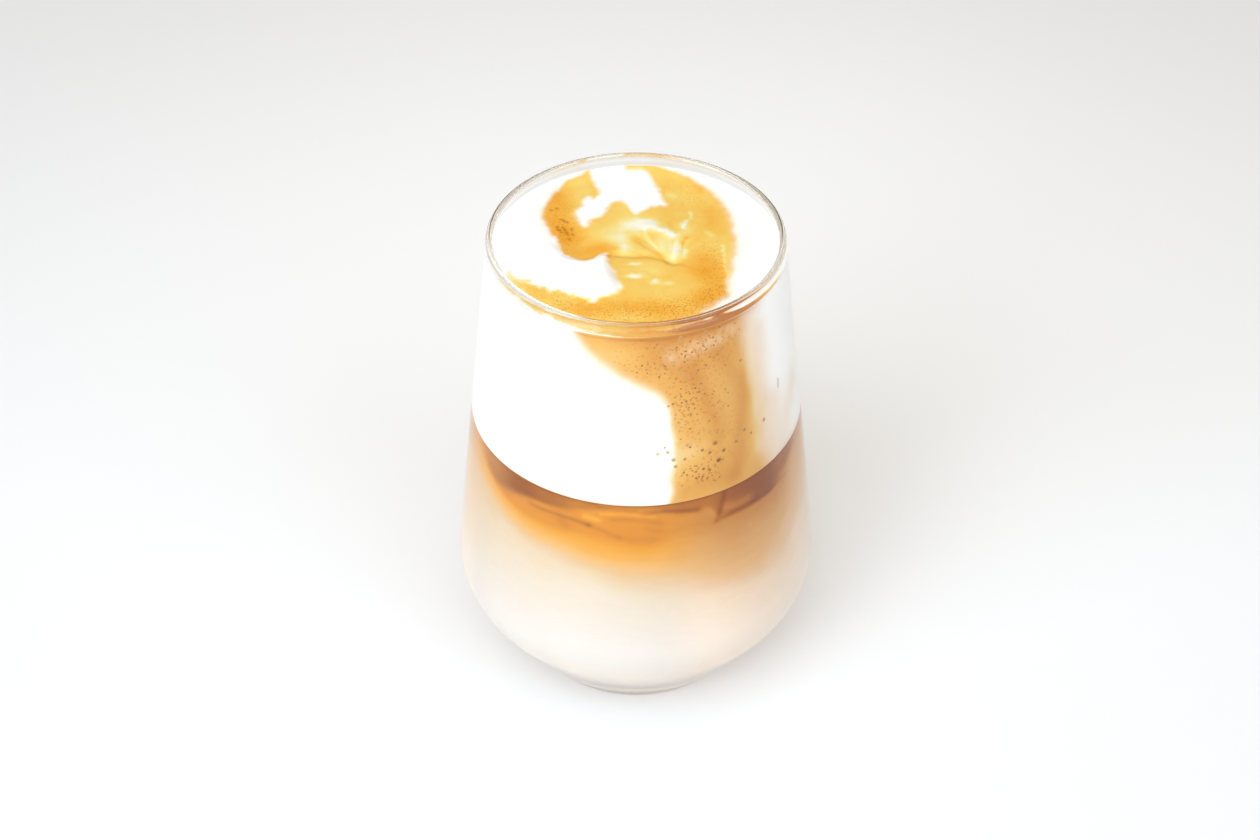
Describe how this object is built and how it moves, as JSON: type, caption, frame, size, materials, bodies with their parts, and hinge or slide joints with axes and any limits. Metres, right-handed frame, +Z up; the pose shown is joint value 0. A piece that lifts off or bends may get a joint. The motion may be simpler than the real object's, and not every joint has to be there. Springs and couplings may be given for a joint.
{
  "type": "layered latte in a glass",
  "caption": "Layered latte in a clear stemless tumbler: white milk, sunk coffee and thick milk foam marbled with crema.",
  "frame": {"origin": "centre of the underside of the glass, on the surface it stands on", "axes": "+Z up the axis of the glass, -Y towards the side that shows in front"},
  "size_m": [0.086, 0.086, 0.12],
  "materials": {
    "glass": "clear, polished",
    "milk": "smooth liquid, white with a warm cast",
    "coffee": "smooth liquid, dark under the foam and amber below",
    "foam": "fine matte foam, white with amber crema marbling"
  },
  "bodies": {
    "root": {"glass": "glass", "milk": "milk", "coffee": "coffee", "foam": "foam"}
  },
  "joints": []
}
